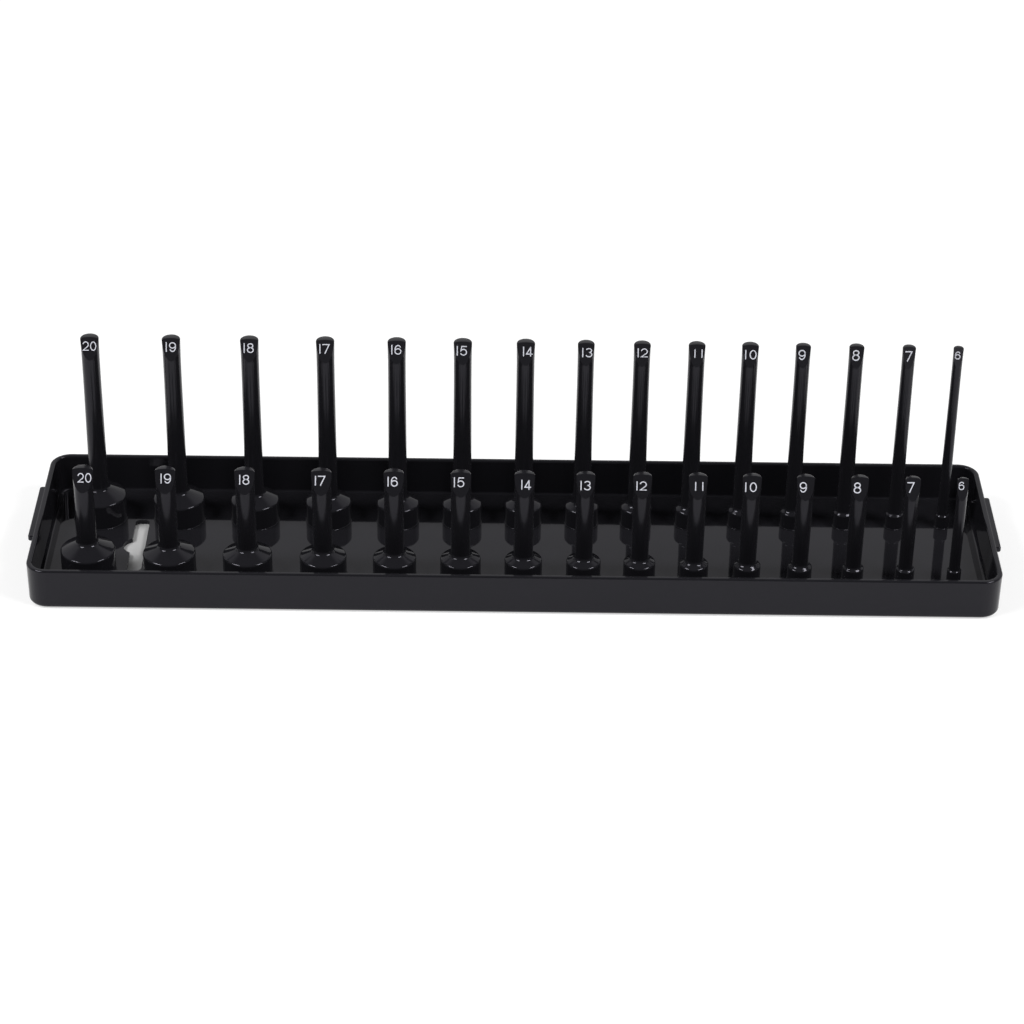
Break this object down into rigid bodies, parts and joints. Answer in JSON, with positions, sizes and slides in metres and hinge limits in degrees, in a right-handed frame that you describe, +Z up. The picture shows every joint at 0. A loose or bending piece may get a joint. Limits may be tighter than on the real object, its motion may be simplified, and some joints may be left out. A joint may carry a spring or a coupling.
{
  "type": "socket tray",
  "caption": "Shallow rectangular tray with a tall and a short row of numbered round posts that hold sockets by their drive holes.",
  "frame": {"origin": "centre of the tray's flat underside", "axes": "+Z up, +Y towards the row of tall posts, number facets face -Y, largest size at -X"},
  "size_m": [0.4362, 0.1018, 0.0965],
  "materials": {
    "tray_plastic": "glossy black moulded plastic",
    "post_plastic": "glossy black moulded plastic",
    "numeral_ink": "printed white ink of the numerals"
  },
  "bodies": {
    "root": {"tray": "tray_plastic", "post_deep_20": "post_plastic", "post_deep_19": "post_plastic", "post_deep_18": "post_plastic", "post_deep_17": "post_plastic", "post_deep_16": "post_plastic", "post_deep_15": "post_plastic", "post_deep_14": "post_plastic", "post_deep_13": "post_plastic", "post_deep_12": "post_plastic", "post_deep_11": "post_plastic", "post_deep_10": "post_plastic", "post_deep_09": "post_plastic", "post_deep_08": "post_plastic", "post_deep_07": "post_plastic", "post_deep_06": "post_plastic", "post_short_20": "post_plastic", "post_short_19": "post_plastic", "post_short_18": "post_plastic", "post_short_17": "post_plastic", "post_short_16": "post_plastic", "post_short_15": "post_plastic", "post_short_14": "post_plastic", "post_short_13": "post_plastic", "post_short_12": "post_plastic", "post_short_11": "post_plastic", "post_short_10": "post_plastic", "post_short_09": "post_plastic", "post_short_08": "post_plastic", "post_short_07": "post_plastic", "post_short_06": "post_plastic"}
  },
  "joints": []
}
